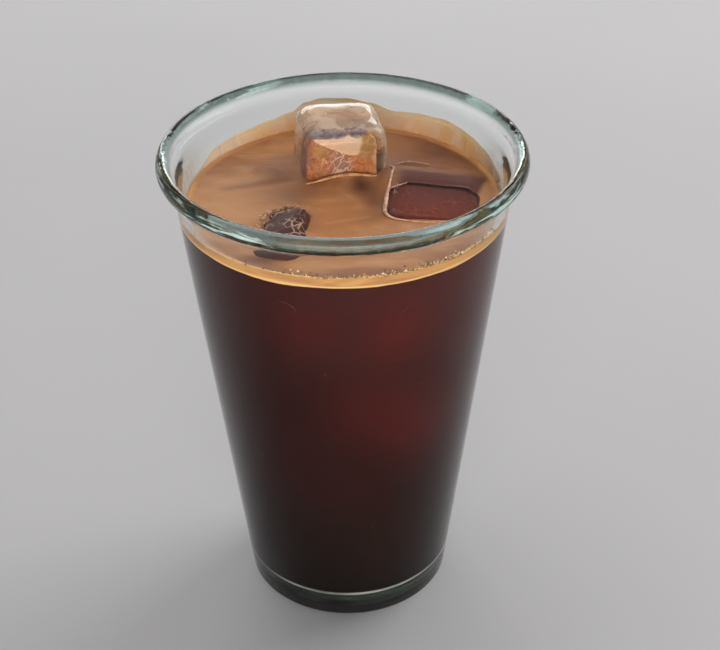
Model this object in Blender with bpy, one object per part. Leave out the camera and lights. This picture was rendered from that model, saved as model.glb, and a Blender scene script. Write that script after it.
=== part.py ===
"""Iced americano in a tall tapered glass tumbler.

The frame is +Z up with the origin at the middle of the glass's foot, on the table.
-Y is the front. All sizes are in metres.

Pieces
  glass            tapered tumbler with a thick floor and a rolled rim
  coffee           the drink below its crema, cut round the ice
  crema            the foam layer that covers the drink, cut round the ice
  ice_cube_back    the cube that stands out of the drink at the back
  ice_cube_right   the cube lying level with the surface at the right
  ice_cube_front   the cube whose edge breaks the surface at the front left
"""
import math

import bmesh
import bpy
from mathutils import Euler, Vector

# Glass: outside
GLASS_HEIGHT = 0.1340
FOOT_RADIUS = 0.0283            # outer wall carried down to the table
WALL_TOP_RADIUS = 0.0446        # outer wall carried up to the rim's height
WALL_THICKNESS = 0.0026
HEEL_RADIUS = 0.0018            # rounding between the wall and the foot
REST_RING_INNER_RADIUS = 0.0205
PUNT_RADIUS = 0.0165            # flat middle of the underside
PUNT_HEIGHT = 0.0008            # how far that middle is pushed up

# Glass: rolled rim
RIM_RADIUS = 0.0475             # to the outermost point
BEAD_HALF_WIDTH = 0.00175
BEAD_HALF_HEIGHT = 0.00235
BEAD_START_ANGLE = -60          # where the outer wall runs into the bead, in degrees
BEAD_END_ANGLE = 180            # where the bead runs into the inner wall
BEAD_LEAD_IN = (0.0010, 0.00078)  # how the outer wall turns as it reaches the bead
FLARE_START = 0.0095            # below the rim, where the wall starts to turn outwards
FLARE_PULL = 0.0043             # how long it still runs straight on from there

# Glass: inside
FLOOR_THICKNESS = 0.0063
CORNER_RADIUS = 0.0036          # between the floor and the inner wall

# Drink
DRINK_LEVEL = 0.1197
CREMA_THICKNESS = 0.0020
MENISCUS_RISE = 0.0007
MENISCUS_WIDTH = 0.0024
GAP = 0.0003                    # between neighbouring pieces

# Ice: size (x, y, z), place of the top face's middle, turn about x, y, z in degrees,
# and how much narrower the bottom is than the top
ICE = {
    "ice_cube_back": {
        "size": (0.0232, 0.0215, 0.0245),
        "top": (-0.0004, 0.0200, DRINK_LEVEL + 0.0137),
        "turn": (2.0, 2.0, 10.0),
        "taper": -0.02,
    },
    "ice_cube_right": {
        "size": (0.0290, 0.0262, 0.0210),
        "top": (0.0243, -0.0018, DRINK_LEVEL + 0.0012),
        "turn": (0.0, 3.0, -8.0),
        "taper": 0.18,
    },
    "ice_cube_front": {
        "size": (0.0170, 0.0235, 0.0200),
        "top": (-0.0186, -0.0177, DRINK_LEVEL + 0.0006),
        "turn": (0.0, -18.0, -8.5),
        "taper": 0.10,
    },
}
ICE_EDGE_POWER = 6.0            # higher is boxier
ICE_MELT = 0.012                # waviness of the melted faces, as a share of the size
ICE_WAVES = ((2.1, 1.3, 0.0), (0.0, 1.7, -2.4), (1.9, 0.0, 2.6))  # directions of the waves

# Roundness of the mesh
TURN_STEPS = 60
ARC_STEPS = 4
BEAD_STEPS = 14
FLARE_STEPS = 5
ICE_CUTS = 6                    # cuts across each face of an ice cube
MERGE_DISTANCE = 0.00001
SMOOTH_ANGLE = math.radians(40)

WALL_SLOPE = (WALL_TOP_RADIUS - FOOT_RADIUS) / GLASS_HEIGHT
BEAD_CENTRE_RADIUS = RIM_RADIUS - BEAD_HALF_WIDTH
BEAD_CENTRE_HEIGHT = GLASS_HEIGHT - BEAD_HALF_HEIGHT


def clear_scene():
    for thing in list(bpy.data.objects):
        bpy.data.objects.remove(thing, do_unlink=True)


def make_material(name, colour, roughness, metallic=0.0, transmission=0.0):
    material = bpy.data.materials.new(name)
    material.use_nodes = True
    shader = material.node_tree.nodes["Principled BSDF"]
    shader.inputs["Base Color"].default_value = (*colour, 1.0)
    shader.inputs["Roughness"].default_value = roughness
    shader.inputs["Metallic"].default_value = metallic
    shader.inputs["Transmission Weight"].default_value = transmission
    return material


def add_object(name, mesh, material):
    mesh.materials.append(material)
    thing = bpy.data.objects.new(name, mesh)
    bpy.context.scene.collection.objects.link(thing)
    return thing


def arc(centre, radii, start, end, steps):
    """Points of an elliptical arc in the (radius, height) plane, angles in degrees."""
    points = []
    for step in range(steps + 1):
        angle = math.radians(start + (end - start) * step / steps)
        r = centre[0] + radii[0] * math.cos(angle)
        z = centre[1] + radii[1] * math.sin(angle)
        points.append((r, z))
    return points


def blend_curve(start, start_pull, end_pull, end, steps):
    """Points strictly between two ends of a cubic curve; the pulls are its handles."""
    points = []
    for step in range(1, steps):
        t = step / steps
        weights = ((1 - t) ** 3, 3 * t * (1 - t) ** 2, 3 * t * t * (1 - t), t ** 3)
        corners = (start, start_pull, end_pull, end)
        r = sum(weight * corner[0] for weight, corner in zip(weights, corners))
        z = sum(weight * corner[1] for weight, corner in zip(weights, corners))
        points.append((r, z))
    return points


def outer_wall(z):
    """Radius of the glass's outer wall at a height."""
    return FOOT_RADIUS + WALL_SLOPE * z


def inner_wall(z):
    """Radius of the glass's inner wall at a height."""
    return outer_wall(z) - WALL_THICKNESS


def floor_corner(radius, start, end):
    """The rounding between the glass's floor and its inner wall, or a gap inside it."""
    height = FLOOR_THICKNESS + CORNER_RADIUS
    centre = (inner_wall(height) - CORNER_RADIUS, height)
    return arc(centre, (radius, radius), start, end, ARC_STEPS)


def turn(name, profile):
    """Mesh of a closed solid, turned about Z from its profile.

    The profile starts and ends on the axis and goes once round the section.
    """
    mesh = bpy.data.meshes.new(name)
    shape = bmesh.new()
    verts = [shape.verts.new((r, 0.0, z)) for r, z in profile]
    edges = [shape.edges.new(pair) for pair in zip(verts, verts[1:])]
    bmesh.ops.spin(
        shape, geom=verts + edges, cent=(0, 0, 0), axis=(0, 0, 1),
        angle=math.tau, steps=TURN_STEPS, use_merge=True)
    bmesh.ops.remove_doubles(shape, verts=shape.verts, dist=MERGE_DISTANCE)
    bmesh.ops.recalc_face_normals(shape, faces=shape.faces)
    shape.to_mesh(mesh)
    shape.free()
    mesh.shade_smooth()
    mesh.set_sharp_from_angle(angle=SMOOTH_ANGLE)
    return mesh


def glass_profile():
    """The tumbler's section: underside, outer wall, rim, inner wall, floor."""
    underside = [(0.0, PUNT_HEIGHT), (PUNT_RADIUS, PUNT_HEIGHT), (REST_RING_INNER_RADIUS, 0.0)]
    heel_centre = (outer_wall(HEEL_RADIUS) - HEEL_RADIUS, HEEL_RADIUS)
    heel = arc(heel_centre, (HEEL_RADIUS, HEEL_RADIUS), -90, 0, ARC_STEPS)
    bead = arc((BEAD_CENTRE_RADIUS, BEAD_CENTRE_HEIGHT), (BEAD_HALF_WIDTH, BEAD_HALF_HEIGHT),
               BEAD_START_ANGLE, BEAD_END_ANGLE, BEAD_STEPS)
    flare_z = GLASS_HEIGHT - FLARE_START
    pull_z = flare_z + FLARE_PULL
    outer_start = (outer_wall(flare_z), flare_z)
    outer_flare = blend_curve(
        outer_start, (outer_wall(pull_z), pull_z),
        (bead[0][0] - BEAD_LEAD_IN[0], bead[0][1] - BEAD_LEAD_IN[1]), bead[0], FLARE_STEPS)
    inner_end = (inner_wall(flare_z), flare_z)
    inner_flare = blend_curve(
        bead[-1], (bead[-1][0], bead[-1][1] - BEAD_HALF_HEIGHT),
        (inner_wall(pull_z), pull_z), inner_end, FLARE_STEPS)
    corner = floor_corner(CORNER_RADIUS, 0, -90)
    return (underside + heel + [outer_start] + outer_flare + bead + inner_flare
            + [inner_end] + corner + [(0.0, FLOOR_THICKNESS)])


def coffee_profile():
    """The drink's section, a gap inside the glass and a gap under the crema."""
    bottom = FLOOR_THICKNESS + GAP
    top = DRINK_LEVEL - CREMA_THICKNESS - GAP
    corner = floor_corner(CORNER_RADIUS - GAP, -90, 0)
    return [(0.0, bottom)] + corner + [(inner_wall(top) - GAP, top), (0.0, top)]


def crema_profile():
    """The foam layer's section, its top curling up a little at the glass."""
    bottom = DRINK_LEVEL - CREMA_THICKNESS
    edge_z = DRINK_LEVEL + MENISCUS_RISE
    edge_r = inner_wall(edge_z) - GAP
    profile = [(0.0, bottom), (inner_wall(bottom) - GAP, bottom), (edge_r, edge_z)]
    for step in range(1, ARC_STEPS + 1):
        t = step / ARC_STEPS
        profile.append((edge_r - MENISCUS_WIDTH * t, DRINK_LEVEL + MENISCUS_RISE * (1 - t) ** 2))
    return profile + [(0.0, DRINK_LEVEL)]


def ice_point(point, ice, grow):
    """Where a point of the cube from -1 to 1 goes on a half-melted cube of ice."""
    length = sum(abs(axis) ** ICE_EDGE_POWER for axis in point) ** (1 / ICE_EDGE_POWER)
    rounded = Vector(point) / length
    wave = sum(math.sin(rounded.dot(Vector(way))) for way in ICE_WAVES) / len(ICE_WAVES)
    melt = 1 + ICE_MELT * wave
    taper = 1 - ice["taper"] * (1 - rounded.z) / 2
    width, depth, height = ice["size"]
    return Vector((
        rounded.x * (width / 2 * taper * melt + grow),
        rounded.y * (depth / 2 * taper * melt + grow),
        rounded.z * (height / 2 * melt + grow),
    ))


def make_ice_mesh(name, ice, grow=0.0):
    """A cube of ice in its place, or the room for it when it is grown by a gap."""
    mesh = bpy.data.meshes.new(name)
    shape = bmesh.new()
    bmesh.ops.create_cube(shape, size=2.0)
    bmesh.ops.subdivide_edges(shape, edges=shape.edges, cuts=ICE_CUTS, use_grid_fill=True)
    rotation = Euler([math.radians(angle) for angle in ice["turn"]]).to_matrix()
    middle = Vector(ice["top"]) - rotation @ Vector((0, 0, ice["size"][2] / 2))
    for vert in shape.verts:
        spread = [math.tan(axis * math.pi / 4) for axis in vert.co]
        vert.co = middle + rotation @ ice_point(spread, ice, grow)
    bmesh.ops.recalc_face_normals(shape, faces=shape.faces)
    shape.to_mesh(mesh)
    shape.free()
    mesh.shade_smooth()
    return mesh


def make_ice_cutters():
    """Guides that take the room for the ice out of the drink."""
    cutters = []
    for name, ice in ICE.items():
        mesh = make_ice_mesh("room_for_" + name, ice, GAP)
        cutter = bpy.data.objects.new(mesh.name, mesh)
        cutter.hide_render = True
        cutter.display_type = "WIRE"
        bpy.context.scene.collection.objects.link(cutter)
        cutters.append(cutter)
    return cutters


def cut_round_ice(thing, cutters):
    for cutter in cutters:
        cut = thing.modifiers.new(cutter.name, "BOOLEAN")
        cut.operation = "DIFFERENCE"
        cut.object = cutter
        cut.solver = "EXACT"


def make_glass():
    material = make_material("clear_glass", (0.86, 0.92, 0.89), 0.02, transmission=1.0)
    add_object("glass", turn("glass", glass_profile()), material)


def make_drink(cutters):
    coffee_look = make_material("coffee", (0.045, 0.014, 0.010), 0.10)
    crema_look = make_material("crema", (0.47, 0.24, 0.11), 0.35)
    coffee = add_object("coffee", turn("coffee", coffee_profile()), coffee_look)
    crema = add_object("crema", turn("crema", crema_profile()), crema_look)
    cut_round_ice(coffee, cutters)
    cut_round_ice(crema, cutters)


def make_ice():
    material = make_material("ice", (0.62, 0.45, 0.33), 0.08, transmission=0.9)
    for name, ice in ICE.items():
        add_object(name, make_ice_mesh(name, ice), material)


def main():
    clear_scene()
    make_glass()
    make_drink(make_ice_cutters())
    make_ice()


main()
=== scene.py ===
"""Looks of the iced americano: glass, coffee, crema, ice, bubbles and residue film.

All sizes are in metres, in the CAD's frame: +Z up, -Y the front, origin under the foot.
The sizes that shape the glass, the drink and the ice repeat those of the CAD model.
"""
import math
import random

import bmesh
import bpy
from mathutils import Euler, Matrix, Vector, noise


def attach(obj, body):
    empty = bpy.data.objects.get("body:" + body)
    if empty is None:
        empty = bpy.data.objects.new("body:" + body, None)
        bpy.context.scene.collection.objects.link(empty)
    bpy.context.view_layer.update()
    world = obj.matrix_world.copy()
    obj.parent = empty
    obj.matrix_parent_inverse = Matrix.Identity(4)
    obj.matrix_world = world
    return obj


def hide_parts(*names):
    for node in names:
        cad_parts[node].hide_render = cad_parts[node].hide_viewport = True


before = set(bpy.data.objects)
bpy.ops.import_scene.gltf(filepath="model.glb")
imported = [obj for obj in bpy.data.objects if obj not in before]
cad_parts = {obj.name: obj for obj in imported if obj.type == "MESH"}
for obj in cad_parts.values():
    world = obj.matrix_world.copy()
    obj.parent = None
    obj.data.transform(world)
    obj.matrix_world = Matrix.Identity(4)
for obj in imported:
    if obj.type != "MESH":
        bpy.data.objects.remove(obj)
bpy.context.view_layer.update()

# Glass, as in the CAD
GLASS_HEIGHT = 0.1340
FOOT_RADIUS = 0.0283
WALL_TOP_RADIUS = 0.0446
WALL_THICKNESS = 0.0026
HEEL_RADIUS = 0.0018
REST_RING_INNER_RADIUS = 0.0205
PUNT_RADIUS = 0.0165
PUNT_HEIGHT = 0.0008
RIM_RADIUS = 0.0475
BEAD_HALF_WIDTH = 0.00175
BEAD_HALF_HEIGHT = 0.00235
BEAD_START_ANGLE = -60
BEAD_END_ANGLE = 180
BEAD_LEAD_IN = (0.0010, 0.00078)
FLARE_START = 0.0095
FLARE_PULL = 0.0043
FLOOR_THICKNESS = 0.0063
CORNER_RADIUS = 0.0036
DRINK_LEVEL = 0.1197
CREMA_THICKNESS = 0.0020
MENISCUS_RISE = 0.0007
MENISCUS_WIDTH = 0.0024
WALL_SLOPE = (WALL_TOP_RADIUS - FOOT_RADIUS) / GLASS_HEIGHT
BEAD_CENTRE = (RIM_RADIUS - BEAD_HALF_WIDTH, GLASS_HEIGHT - BEAD_HALF_HEIGHT)

# Ice, as in the CAD
ICE = {
    "ice_cube_back": {
        "size": (0.0232, 0.0215, 0.0245),
        "top": (-0.0004, 0.0200, DRINK_LEVEL + 0.0137),
        "turn": (2.0, 2.0, 10.0),
        "taper": -0.02,
    },
    "ice_cube_right": {
        "size": (0.0290, 0.0262, 0.0210),
        "top": (0.0243, -0.0018, DRINK_LEVEL + 0.0012),
        "turn": (0.0, 3.0, -8.0),
        "taper": 0.18,
    },
    "ice_cube_front": {
        "size": (0.0170, 0.0235, 0.0200),
        "top": (-0.0186, -0.0177, DRINK_LEVEL + 0.0006),
        "turn": (0.0, -18.0, -8.5),
        "taper": 0.10,
    },
}
ICE_EDGE_POWER = 6.0
ICE_MELT = 0.012
ICE_WAVES = ((2.1, 1.3, 0.0), (0.0, 1.7, -2.4), (1.9, 0.0, 2.6))

# How far the drink's pieces reach into their neighbours, so that no air gap shows
COFFEE_REACH = 0.00015
CREMA_REACH = 0.00028
COFFEE_ROOM = dict.fromkeys(ICE, -0.00010)
CREMA_ROOM = {"ice_cube_back": -0.00022, "ice_cube_right": -0.00012, "ice_cube_front": -0.00010}

# Roundness of the meshes
TURN_STEPS = 168
ARC_STEPS = 8
BEAD_STEPS = 30
FLARE_STEPS = 10
ICE_CUTS = 22
CREMA_RINGS = 96
CREMA_SIDE_STEPS = 4
SMOOTH_ANGLE = math.radians(40)

# Camera, from the fit to the photograph
CAMERA_PLACE = (0.0, -0.36372, 0.31870)
CAMERA_PITCH = 0.5804
CAMERA_YAW = -0.0109
CAMERA_ROLL = -0.0098
CAMERA_LENS = 80.0
SENSOR_WIDTH = 36.0


def linear(red, green, blue):
    """Linear colour of an sRGB colour given from 0 to 255."""
    parts = []
    for value in (red, green, blue):
        share = value / 255
        parts.append(share / 12.92 if share <= 0.04045 else ((share + 0.055) / 1.055) ** 2.4)
    return (*parts, 1.0)


# Node helpers

def start_material(name):
    """A new material, its shader, and the place in the object's own coordinates."""
    material = bpy.data.materials.new(name)
    material.use_nodes = True
    nodes = material.node_tree.nodes
    return material, nodes["Principled BSDF"], nodes.new("ShaderNodeTexCoord").outputs["Object"]


def put(value, socket):
    """Links a socket to an input, or sets the input's plain value."""
    if isinstance(value, bpy.types.NodeSocket):
        socket.id_data.links.new(value, socket)
    else:
        socket.default_value = value


def fill(made, inputs):
    for key, value in inputs.items():
        put(value, made.inputs[key])
    return made


def node(kind, inputs, **settings):
    """A new node in the tree that the linked ones of its inputs come from."""
    linked = next(value for value in inputs.values() if isinstance(value, bpy.types.NodeSocket))
    made = linked.id_data.nodes.new("ShaderNode" + kind)
    for key, value in settings.items():
        setattr(made, key, value)
    return fill(made, inputs)


def calc(operation, first, second=0.0, third=0.0, clamp=False):
    inputs = {0: first, 1: second, 2: third}
    return node("Math", inputs, operation=operation, use_clamp=clamp).outputs[0]


def times(first, second, clamp=False):
    return calc("MULTIPLY", first, second, clamp=clamp)


def blend(share, first, second):
    return node("Mix", {0: share, 6: first, 7: second}, data_type="RGBA").outputs[2]


def spread(value, low, high, to_low=0.0, to_high=1.0):
    """A smooth step of value from low to high."""
    inputs = {"Value": value, "From Min": low, "From Max": high, "To Min": to_low, "To Max": to_high}
    return node("MapRange", inputs, interpolation_type="SMOOTHSTEP").outputs[0]


def attribute(shader, name):
    made = shader.id_data.nodes.new("ShaderNodeAttribute")
    made.attribute_name = name
    return made.outputs["Fac"]


def part_of(vector, axis):
    return node("SeparateXYZ", {0: vector}).outputs[axis]


def rough_noise(vector, scale, detail=3.0, roughness=0.5, distortion=0.0):
    inputs = {"Vector": vector, "Scale": scale, "Detail": detail,
              "Roughness": roughness, "Distortion": distortion}
    return node("TexNoise", inputs).outputs["Fac"]


def cell_edge(vector, scale):
    """How far a place is from the edges of a field of cells."""
    inputs = {"Vector": vector, "Scale": scale}
    return node("TexVoronoi", inputs, feature="DISTANCE_TO_EDGE").outputs["Distance"]


def stretched(vector, scale, turn=(0.0, 0.0, 0.0)):
    return node("Mapping", {"Vector": vector, "Scale": scale, "Rotation": turn}).outputs[0]


def shifted(vector, by, way="ADD"):
    return node("VectorMath", {0: vector, 1: by}, operation=way).outputs[0]


def length(vector):
    return node("VectorMath", {0: vector}, operation="LENGTH").outputs["Value"]


def from_axis(vector):
    """How far a place is from the glass's axis."""
    return length(shifted(vector, (1.0, 1.0, 0.0), "MULTIPLY"))


def in_box(vector, middle, half, turn, soft):
    """1 inside an upright box turned about Z, falling to 0 over a soft edge."""
    turned = stretched(shifted(vector, middle, "SUBTRACT"), (1.0, 1.0, 1.0), (0.0, 0.0, -turn))
    sides = []
    for axis in range(2):
        away = calc("ABSOLUTE", part_of(turned, axis))
        sides.append(spread(away, half[axis] - soft, half[axis] + soft, 1.0, 0.0))
    return times(*sides)


def near(vector, place, reach, scale=(1.0, 1.0, 1.0)):
    """1 at a place, falling smoothly to 0 at its reach."""
    away = length(shifted(shifted(vector, place, "SUBTRACT"), scale, "MULTIPLY"))
    return spread(away, 0.0, reach, 1.0, 0.0)


def bumped(height, strength, distance):
    return node("Bump", {"Height": height, "Strength": strength, "Distance": distance}).outputs[0]


# Shape helpers

def round_axis(r, angle, z):
    return Vector((r * math.cos(angle), r * math.sin(angle), z))


def arc(centre, radii, start, end, steps):
    points = []
    for step in range(steps + 1):
        angle = math.radians(start + (end - start) * step / steps)
        r = centre[0] + radii[0] * math.cos(angle)
        z = centre[1] + radii[1] * math.sin(angle)
        points.append((r, z))
    return points


def blend_curve(start, start_pull, end_pull, end, steps):
    points = []
    for step in range(1, steps):
        t = step / steps
        weights = ((1 - t) ** 3, 3 * t * (1 - t) ** 2, 3 * t * t * (1 - t), t ** 3)
        corners = (start, start_pull, end_pull, end)
        points.append([sum(weight * corner[axis] for weight, corner in zip(weights, corners))
                       for axis in (0, 1)])
    return points


def line(start, end, steps):
    """Points of a straight line, both ends included."""
    points = []
    for step in range(steps + 1):
        t = step / steps
        points.append((start[0] + (end[0] - start[0]) * t, start[1] + (end[1] - start[1]) * t))
    return points


def outer_wall(z):
    return FOOT_RADIUS + WALL_SLOPE * z


def inner_wall(z):
    return outer_wall(z) - WALL_THICKNESS


def smooth_step(low, high, value):
    t = min(1.0, max(0.0, (value - low) / (high - low)))
    return t * t * (3 - 2 * t)


def add_piece(name, mesh, material, node_name=None):
    mesh.materials.append(material)
    piece = bpy.data.objects.new(name, mesh)
    bpy.context.scene.collection.objects.link(piece)
    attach(piece, "root")
    if node_name:
        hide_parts(node_name)
    return piece


def turned_mesh(name, profile, steps=TURN_STEPS, shift=None):
    """A closed solid turned about Z. The profile starts and ends on the axis.

    shift, where it is given, moves a point (r, z) at an angle to a new (r, z).
    """
    shape = bmesh.new()
    rings = []
    for r, z in profile[1:-1]:
        ring = []
        for step in range(steps):
            angle = math.tau * step / steps
            new_r, new_z = shift(r, z, angle) if shift else (r, z)
            ring.append(shape.verts.new(round_axis(new_r, angle, new_z)))
        rings.append(ring)
    ends = [shape.verts.new((0, 0, profile[0][1])), shape.verts.new((0, 0, profile[-1][1]))]
    for step in range(steps):
        after = (step + 1) % steps
        shape.faces.new((ends[0], rings[0][after], rings[0][step]))
        shape.faces.new((ends[1], rings[-1][step], rings[-1][after]))
        for low, high in zip(rings, rings[1:]):
            shape.faces.new((low[step], low[after], high[after], high[step]))
    bmesh.ops.recalc_face_normals(shape, faces=shape.faces)
    return finish_mesh(name, shape)


def join_rings(shape, rings):
    """Faces between each closed ring of points and the next."""
    for low, high in zip(rings, rings[1:]):
        for step in range(len(low)):
            after = (step + 1) % len(low)
            shape.faces.new((low[step], low[after], high[after], high[step]))


def finish_mesh(name, shape, sharp=True):
    mesh = bpy.data.meshes.new(name)
    shape.to_mesh(mesh)
    shape.free()
    mesh.shade_smooth()
    if sharp:
        mesh.set_sharp_from_angle(angle=SMOOTH_ANGLE)
    return mesh


# Glass

BEAD_WAVE = 0.00007             # how uneven the rim is
WALL_WAVE = 0.000025


def glass_profile():
    underside = [(0.0, PUNT_HEIGHT)] + line((PUNT_RADIUS * 0.5, PUNT_HEIGHT), (PUNT_RADIUS, PUNT_HEIGHT), 2)
    underside += blend_curve(
        (PUNT_RADIUS, PUNT_HEIGHT), (PUNT_RADIUS + 0.0015, PUNT_HEIGHT),
        (REST_RING_INNER_RADIUS - 0.0015, 0.0), (REST_RING_INNER_RADIUS, 0.0), 6)
    underside += [(REST_RING_INNER_RADIUS, 0.0)]
    heel_centre = (outer_wall(HEEL_RADIUS) - HEEL_RADIUS, HEEL_RADIUS)
    heel = arc(heel_centre, (HEEL_RADIUS, HEEL_RADIUS), -90, 0, ARC_STEPS)
    bead = arc(BEAD_CENTRE, (BEAD_HALF_WIDTH, BEAD_HALF_HEIGHT),
               BEAD_START_ANGLE, BEAD_END_ANGLE, BEAD_STEPS)
    flare_z = GLASS_HEIGHT - FLARE_START
    pull_z = flare_z + FLARE_PULL
    outer_start = (outer_wall(flare_z), flare_z)
    outer_side = line(heel[-1], outer_start, 24)[1:]
    outer_flare = blend_curve(
        outer_start, (outer_wall(pull_z), pull_z),
        (bead[0][0] - BEAD_LEAD_IN[0], bead[0][1] - BEAD_LEAD_IN[1]), bead[0], FLARE_STEPS)
    inner_end = (inner_wall(flare_z), flare_z)
    inner_flare = blend_curve(
        bead[-1], (bead[-1][0], bead[-1][1] - BEAD_HALF_HEIGHT),
        (inner_wall(pull_z), pull_z), inner_end, FLARE_STEPS)
    height = FLOOR_THICKNESS + CORNER_RADIUS
    corner_centre = (inner_wall(height) - CORNER_RADIUS, height)
    corner = arc(corner_centre, (CORNER_RADIUS, CORNER_RADIUS), 0, -90, ARC_STEPS)
    inner_side = line(inner_end, corner[0], 24)[:-1]
    floor = line(corner[-1], (0.0, FLOOR_THICKNESS), 3)[1:]
    return underside + heel + outer_side + outer_flare + bead + inner_flare + inner_side + corner + floor


def inner_side():
    """The inner side of the glass, from the top of its rim down."""
    profile = glass_profile()
    heights = [z for r, z in profile]
    return profile[heights.index(max(heights)):]


INNER_SIDE = inner_side()


def flared_wall(z):
    """Radius of the inner wall, also where it turns outwards below the rim."""
    for (high_r, high_z), (low_r, low_z) in zip(INNER_SIDE, INNER_SIDE[1:]):
        if low_z <= z < high_z:
            return low_r + (high_r - low_r) * (z - low_z) / (high_z - low_z)
    return inner_wall(z)


def uneven_glass(r, z, angle):
    """The small unevenness of pressed glass, always inwards."""
    around = round_axis(1.0, angle, z * 30)
    wave = 0.5 + 0.5 * noise.noise(around * 2.3)
    rim = smooth_step(GLASS_HEIGHT - FLARE_START, GLASS_HEIGHT - 0.004, z)
    return r - wave * (BEAD_WAVE * rim + WALL_WAVE * (1 - rim)), z


GLASS_TINT = (0.55, 0.86, 0.77, 1.0)
GLASS_DENSITY = 32.0
RIM_TINT = (0.72, 0.84, 0.81, 1.0)      # of the rolled rim's outer side
# The rim's rounded top: green of the glass, darkened further by painted shade.
RIM_TOP_TINT_AND_SHADE = (0.34, 0.41, 0.39, 1.0)  # of its rounded top
# Painted shade: darkens the thick foot.
FOOT_PAINTED_SHADE = (0.22, 0.16, 0.17, 1.0)     # of the thick foot
GLASS_GLARE = 0.2               # share of the plain reflection that clear glass gives
GLASS_IOR = 1.4
RIM_ROUGHNESS = 0.10            # of the rolled rim's outer side, where the rest is polished


def let_light_in(shader):
    """Shadow rays pass, so that the lamps reach what lies inside the clear piece."""
    nodes = shader.id_data.nodes
    shadow = nodes.new("ShaderNodeLightPath").outputs["Is Shadow Ray"]
    clear = nodes.new("ShaderNodeBsdfTransparent").outputs[0]
    mixed = node("MixShader", {0: shadow, 1: shader.outputs[0], 2: clear}).outputs[0]
    put(mixed, nodes["Material Output"].inputs["Surface"])


def glass_material():
    material, shader, place = start_material("clear_glass")
    height = part_of(place, 2)
    outside = spread(from_axis(place), BEAD_CENTRE[0], RIM_RADIUS - 0.0006)
    on_bead = spread(height, BEAD_CENTRE[1] - 0.0018, BEAD_CENTRE[1] - 0.0008)
    on_bead = times(outside, on_bead)
    # The rim's rounded top is tinted green and darkened by painted shade.
    on_top = spread(height, BEAD_CENTRE[1] + 0.0004, BEAD_CENTRE[1] + 0.0013)
    # Painted shade on the thick foot.
    foot_painted_shade = spread(height, FLOOR_THICKNESS + 0.0018, FLOOR_THICKNESS - 0.0002)
    colour = blend(on_bead, (1.0, 1.0, 1.0, 1.0), RIM_TINT)
    colour = blend(on_top, colour, RIM_TOP_TINT_AND_SHADE)
    colour = blend(foot_painted_shade, colour, FOOT_PAINTED_SHADE)
    spots = rough_noise(place, 90.0, 2.0)
    streak = rough_noise(stretched(place, (1.0, 1.0, 0.3), (0.5, 0.4, 0.0)), 230.0, 2.0)
    on_rim = spread(height, GLASS_HEIGHT - 0.0055, GLASS_HEIGHT - 0.0040, 0.0, 0.35)
    uneven = calc("MULTIPLY_ADD", spots, 0.02, times(streak, on_rim))
    fill(shader, {
        "Base Color": colour,
        "Roughness": times(on_bead, RIM_ROUGHNESS),
        "IOR": GLASS_IOR,
        "Transmission Weight": 1.0,
        "Specular Tint": (GLASS_GLARE, GLASS_GLARE, GLASS_GLARE, 1.0),
        "Normal": bumped(uneven, 1.0, 0.001),
    })
    nodes = shader.id_data.nodes
    tint = fill(nodes.new("ShaderNodeVolumeAbsorption"), {"Color": GLASS_TINT, "Density": GLASS_DENSITY})
    put(tint.outputs[0], nodes["Material Output"].inputs["Volume"])
    let_light_in(shader)
    return material


STREAK_DEPTH = 0.00016          # how deep the rim's streaks lie under its outer side
STREAK_ANGLES = (-34, 78)
STREAK_ROWS = 10


def rim_streak_mesh():
    """A thin ring just inside the rolled rim's outer side."""
    shape = bmesh.new()
    to_edge = shape.verts.layers.float.new("to_edge")
    rings = []
    around = TURN_STEPS * 2
    for row in range(STREAK_ROWS + 1):
        share = row / STREAK_ROWS
        turn = math.radians(STREAK_ANGLES[0] + (STREAK_ANGLES[1] - STREAK_ANGLES[0]) * share)
        r = BEAD_CENTRE[0] + (BEAD_HALF_WIDTH - STREAK_DEPTH) * math.cos(turn)
        z = BEAD_CENTRE[1] + (BEAD_HALF_HEIGHT - STREAK_DEPTH) * math.sin(turn)
        ring = []
        for step in range(around):
            angle = math.tau * step / around
            vert = shape.verts.new(round_axis(r, angle, z))
            vert[to_edge] = share
            ring.append(vert)
        rings.append(ring)
    join_rings(shape, rings)
    return finish_mesh("rim_streaks_and_painted_glints", shape, sharp=False)


def rim_streak_and_glint_material():
    """The green-grey streaks that drawn glass has in a thick rim, with pale painted reflections."""
    material, shader, place = start_material("rim_streaks_and_painted_glints")
    share = attribute(shader, "to_edge")
    long = rough_noise(stretched(place, (1.0, 1.0, 11.0)), 62.0, 3.0, 0.6, 0.6)
    fine = rough_noise(stretched(place, (1.0, 1.0, 0.4), (0.4, 0.5, 0.0)), 420.0, 2.0)
    sideways = calc("ABSOLUTE", part_of(place, 0))
    # Painted reflections: pale streaks, stronger towards the rim's sides.
    pale = times(spread(long, 0.53, 0.60), spread(sideways, 0.010, 0.024, 0.1, 1.0))
    colour = blend(spread(fine, 0.35, 0.65), linear(66, 84, 78), linear(98, 116, 109))
    colour = blend(pale, colour, linear(222, 236, 231))
    ends = times(spread(share, 0.0, 0.22), spread(share, 1.0, 0.80))
    alpha = calc("MULTIPLY_ADD", pale, 0.34, spread(fine, 0.35, 0.65, 0.34, 0.46))
    fill(shader, {"Base Color": colour, "Roughness": 0.3, "Alpha": times(alpha, ends)})
    return material


def make_glass():
    mesh = turned_mesh("glass", glass_profile(), shift=uneven_glass)
    add_piece("tumbler", mesh, glass_material(), "glass")
    add_piece("rim_streaks_and_painted_glints", rim_streak_mesh(), rim_streak_and_glint_material())


# Ice

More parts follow.
